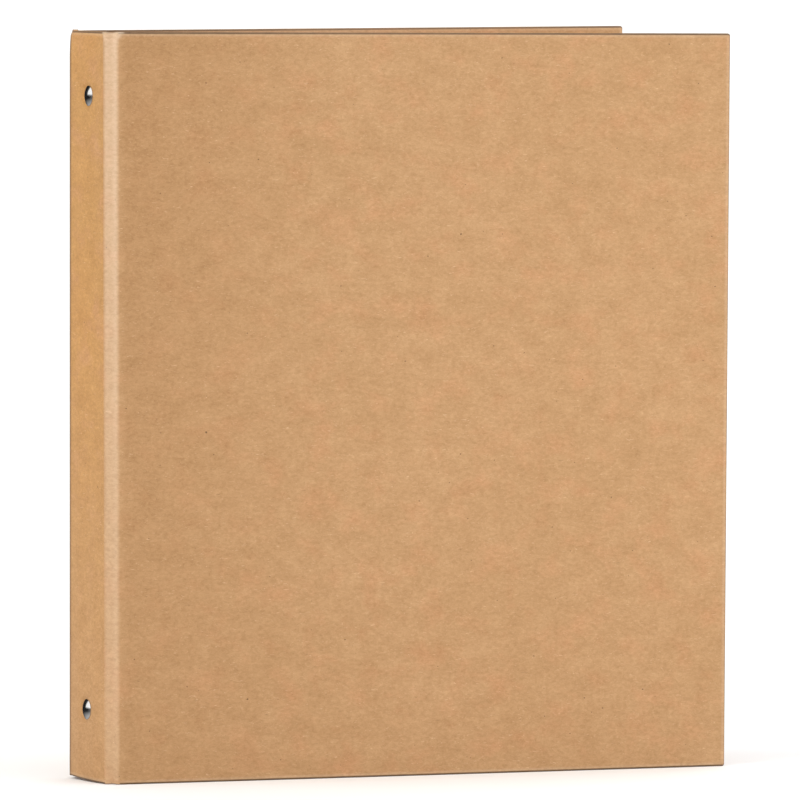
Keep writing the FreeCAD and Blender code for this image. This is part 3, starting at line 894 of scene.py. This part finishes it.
def nickel(name, tint, rough_low, rough_high, brushed):
    """Nickel-plated steel: faint rolling marks, handling haze and a slightly uneven polish."""
    material, tree, shader = node_tree(name)
    source = tree.nodes.new("ShaderNodeTexCoord")
    n = Nodes(tree, source.outputs["Object"])
    marks = n.noise((1600, 1600, brushed), detail=3, roughness=0.55)
    haze = n.noise((160, 160, 90), detail=3, roughness=0.5, shift=(4, 2, 7))
    pits = n.noise((3200, 3200, 3200), detail=2, roughness=0.5)
    dull = tuple(channel * 0.86 for channel in tint[:3]) + (1,)
    colour = n.mix(n.ramp(haze, 0.42, 0.7), tint, dull)
    tree.links.new(colour, shader.inputs["Base Color"])
    shader.inputs["Metallic"].default_value = 1.0
    polish = n.ramp(marks, 0.25, 0.75, rough_low, rough_high)
    tree.links.new(n.total(polish, n.ramp(haze, 0.4, 0.75, to_high=0.06)), shader.inputs["Roughness"])
    n.bump(n.total(n.times(marks, 0.6), n.times(pits, 0.4)), strength=0.08, distance=0.00004, shader=shader)
    return material


cover_paper = kraft("kraft_cover_paper", COVER_TONES)
# the spine's paper is tinted more golden as painted warm light
warm_lit_spine_kraft = kraft("kraft_spine_paper_warm_lit", SPINE_WARM_LIT_TONES, foot=SPINE_FOOT, mottle=1.28)
# the lining is made paler as painted light on its shaded inner faces
lightened_lining_paper = kraft("kraft_lining_paper_lightened", LINING_LIGHTENED_TONES, seed=3.7)
board_pulp = greyboard("greyboard_pulp")
plated = nickel("nickel_plate", (0.78, 0.765, 0.735, 1), rough_low=0.16, rough_high=0.27, brushed=60)
polished = nickel("nickel_polished", (0.80, 0.79, 0.77, 1), rough_low=0.07, rough_high=0.13, brushed=900)


def dress(obj, material):
    obj.data.materials.clear()
    obj.data.materials.append(material)
    return obj


# ---------------------------------------------------------------- spine

front = SIDES["front"]
dents = RivetDents()
spine_edge = crease_1 - SEAM
spine_columns = merged([-spine_edge + v for v in SPINE_EDGE_COLUMNS],
                       spread(-spine_edge + 4.0, spine_edge - 2.0, step=2.2),
                       spread(-RIVET_ZONE, RIVET_ZONE, step=RIVET_GRID),
                       [spine_edge - v for v in SPINE_FAR_COLUMNS])
spine_paper = dress(wrap_skin(front, spine_columns, "spine_paper", False, dents),
                    warm_lit_spine_kraft)
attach(spine_paper, "spine")
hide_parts("spine_wrap")

spine_liner = dress(lining_skin(front, spread(-spine_edge, spine_edge, step=4.0), "spine_liner"),
                    lightened_lining_paper)
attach(spine_liner, "spine")
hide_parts("spine_lining")

core_edge = crease_1 - BOARD_SETBACK
spine_core = dress(board_skin(front, "spine_core", -core_edge, core_edge, False, CORE_DEPTH),
                   board_pulp)
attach(spine_core, "spine")
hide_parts("spine_board")

# ---------------------------------------------------------------- covers and creases


def add_cover(name, side, cover_start):
    """One cover: its paper, its board and its lining."""
    columns = merged([cover_start + v for v in COVER_START_COLUMNS],
                     spread(cover_start + 5.5, free_edge - TURN_IN, step=10.0),
                     spread(free_edge - TURN_IN, free_edge - 4.0, step=4.0), free_edge_columns())
    paper = dress(wrap_skin(side, columns, f"{name}_cover_paper", True), cover_paper)
    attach(paper, f"{name}_cover")
    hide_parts(f"{name}_wrap")

    board_end = free_edge - WRAP_T - BOARD_PLAY
    board = dress(board_skin(side, f"{name}_cover_board", crease_2 + BOARD_SETBACK, board_end, True),
                  board_pulp)
    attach(board, f"{name}_cover")
    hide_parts(f"{name}_board")

    bed_from, bed_to = free_edge - TURN_IN - BED_STEP[1], free_edge - TURN_IN - BED_STEP[0]
    liner_columns = merged(spread(cover_start, bed_from, step=12.0), spread(bed_from, bed_to, step=0.4),
                           spread(free_edge - TURN_IN + 2, free_edge - LINING_INSET, step=4.0))
    liner = dress(lining_skin(side, liner_columns, f"{name}_cover_liner", True),
                  lightened_lining_paper)
    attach(liner, f"{name}_cover")
    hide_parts(f"{name}_lining")


def add_crease(name, side, run, tag, panel):
    """Paper and lining over the crease after a panel, drawn round it between the two panels that it joins;
    neither is attached to a body.
    """
    crease = side.start[panel + 1]
    low = side.at(crease - CREASE_REACH, 0, panel)
    high = side.at(crease + CREASE_REACH, 0, panel + 1)
    fold = dress(wrap_skin(side, run, f"{name}_{tag}_crease", False), cover_paper)
    inner_fold = dress(lining_skin(side, run, f"{name}_{tag}_crease_liner"),
                       lightened_lining_paper)
    if panel == 0:
        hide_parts(f"{name}_hinge_strip")
        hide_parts(f"{name}_hinge_lining")
    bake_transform(fold)
    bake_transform(inner_fold)


for name, side in SIDES.items():
    first, second = hinge_columns()
    add_cover(name, side, second[-1])
    add_crease(name, side, first, "spine", 0)
    add_crease(name, side, second, "cover", 1)

# ---------------------------------------------------------------- mechanism and rivets, the CAD's own meshes

for node, obj in frame["nodes"].items():
    if "ring" in node or "plate" in node or "trigger" in node:
        dress(obj, polished if "_ring_" in node else plated)
    elif node.startswith("rivet"):
        dress(obj, polished)
    else:
        continue
    for polygon in obj.data.polygons:
        polygon.use_smooth = True
    obj.data.set_sharp_from_angle(angle=math.radians(METAL_SHARP))

# ---------------------------------------------------------------- camera

# the photo's own view: place in metres, and angles in degrees
CAMERA_AT = (-1.9256, -4.2487, 0.3666)
AZIMUTH, ELEVATION, ROLL = (math.radians(a) for a in (-25.879, 2.6517, 0.237))
LENS_MM = 534.6
SENSOR_MM = 36
FAR_CLIP = 1000


def towards_viewer(azimuth, elevation):
    """Direction from the album to a viewer or a light: azimuth 0 is in front of the front cover."""
    return Vector((math.sin(azimuth) * math.cos(elevation), -math.cos(azimuth) * math.cos(elevation),
                   math.sin(elevation)))


back = towards_viewer(AZIMUTH, ELEVATION)
right = (-back).cross(Vector((0, 0, 1))).normalized()
up = right.cross(-back)
rolled_right = right * math.cos(ROLL) + up * math.sin(ROLL)
rolled_up = up * math.cos(ROLL) - right * math.sin(ROLL)
turned = Matrix((rolled_right, rolled_up, back)).transposed().to_4x4()
camera_data = bpy.data.cameras.new("camera")
camera_data.lens = LENS_MM
camera_data.sensor_width = SENSOR_MM
camera_data.clip_end = FAR_CLIP
camera = new_object("camera", camera_data)
camera.matrix_world = Matrix.Translation(CAMERA_AT) @ turned
bpy.context.scene.camera = camera

# ---------------------------------------------------------------- lights and floor

SUN_DISTANCE = 3


def aimed_light(name, at, target, size, power):
    """A small softbox close to the album, in metres and watts."""
    data = bpy.data.lights.new(name, "AREA")
    data.shape = "RECTANGLE"
    data.size, data.size_y = size
    data.energy = power
    light = new_object(name, data)
    light.location = at
    light.rotation_euler = (Vector(target) - Vector(at)).to_track_quat("-Z", "Y").to_euler()


def far_light(name, azimuth, elevation, strength, breadth, colour=(1, 1, 1)):
    """A broad, distant softbox, with its direction and breadth in degrees."""
    data = bpy.data.lights.new(name, "SUN")
    data.energy = strength
    data.angle = math.radians(breadth)
    data.color = colour
    light = new_object(name, data)
    towards = towards_viewer(math.radians(azimuth), math.radians(elevation))
    light.rotation_euler = towards.to_track_quat("Z", "Y").to_euler()
    light.location = towards * SUN_DISTANCE
    light.visible_glossy = False


WARM = (1.0, 0.95, 0.86)
COOL = (0.95, 0.985, 1.0)
far_light("key", azimuth=-75, elevation=36, strength=0.74, breadth=45, colour=WARM)
far_light("front_fill", azimuth=16, elevation=30, strength=0.30, breadth=60, colour=COOL)
far_light("overhead", azimuth=60, elevation=86, strength=1.45, breadth=70)
far_light("rear", azimuth=150, elevation=30, strength=0.90, breadth=60)
aimed_light("pool", at=(0.35, -0.55, 0.27), target=(0.2, 0.0, 0.18), size=(0.35, 0.35), power=0.66)
aimed_light("over_head", at=(0.15, 0.008, 0.37), target=(0.15, 0.053, 0.28), size=(0.24, 0.03), power=0.10)
aimed_light("low_left", at=(-0.05, -0.6, 0.05), target=(0.05, 0.0, 0.03), size=(0.4, 0.3), power=0.15)

HALF_FLOOR = 300.0
floor_mesh = bpy.data.meshes.new("floor")
floor_mesh.from_pydata([(-HALF_FLOOR, -HALF_FLOOR, 0), (HALF_FLOOR, -HALF_FLOOR, 0),
                        (HALF_FLOOR, HALF_FLOOR, 0), (-HALF_FLOOR, HALF_FLOOR, 0)], [], [(0, 1, 2, 3)])
floor = new_object("floor", floor_mesh)
floor_material, _, floor_shader = node_tree("pale_floor")
floor_shader.inputs["Base Color"].default_value = (0.93, 0.93, 0.93, 1)
floor_shader.inputs["Roughness"].default_value = 0.9
floor_shader.inputs["Specular IOR Level"].default_value = 0.1
floor.data.materials.append(floor_material)
floor.visible_glossy = False

# ---------------------------------------------------------------- world

# strengths of the soft patches of light around the album
CEILING_GLOW = 0.22
LEFT_GLOW = 1.2
RIGHT_GLOW = 0.45
FRONT_GLOW = 0.16
NEAR_GLOW = 0.16
GROUND_GLOW = 0.42

world = bpy.data.worlds.new("studio")
world.use_nodes = True
sky = world.node_tree
where = sky.nodes.new("ShaderNodeTexCoord")
split = sky.nodes.new("ShaderNodeSeparateXYZ")
sky.links.new(where.outputs["Generated"], split.inputs[0])
east, north, height_up = split.outputs
w = Nodes(sky, where.outputs["Generated"])
ceiling = w.ramp(height_up, 0.35, 0.75)
left_box = w.times(w.ramp(east, -0.72, -0.60, 1.0, 0.0), w.ramp(height_up, 0.0, 0.10))
right_box = w.times(w.ramp(east, 0.55, 0.68), w.ramp(height_up, 0.05, 0.15))
front_box = w.times(w.ramp(north, -0.75, -0.45, 1.0, 0.0), w.ramp(height_up, -0.05, 0.15))
all_but_rear = w.ramp(north, 0.15, 0.55, 1.0, 0.12)
ground = w.ramp(height_up, -0.42, -0.16, GROUND_GLOW, 0.0)
glow = w.total(w.times(left_box, LEFT_GLOW), w.times(front_box, FRONT_GLOW),
               w.times(ceiling, CEILING_GLOW), w.times(right_box, RIGHT_GLOW), ground,
               w.times(all_but_rear, NEAR_GLOW))
background = sky.nodes["Background"]
background.inputs["Color"].default_value = (1, 1, 1, 1)
sky.links.new(glow, background.inputs["Strength"])
bpy.context.scene.world = world
bpy.context.scene.view_settings.view_transform = "Standard"
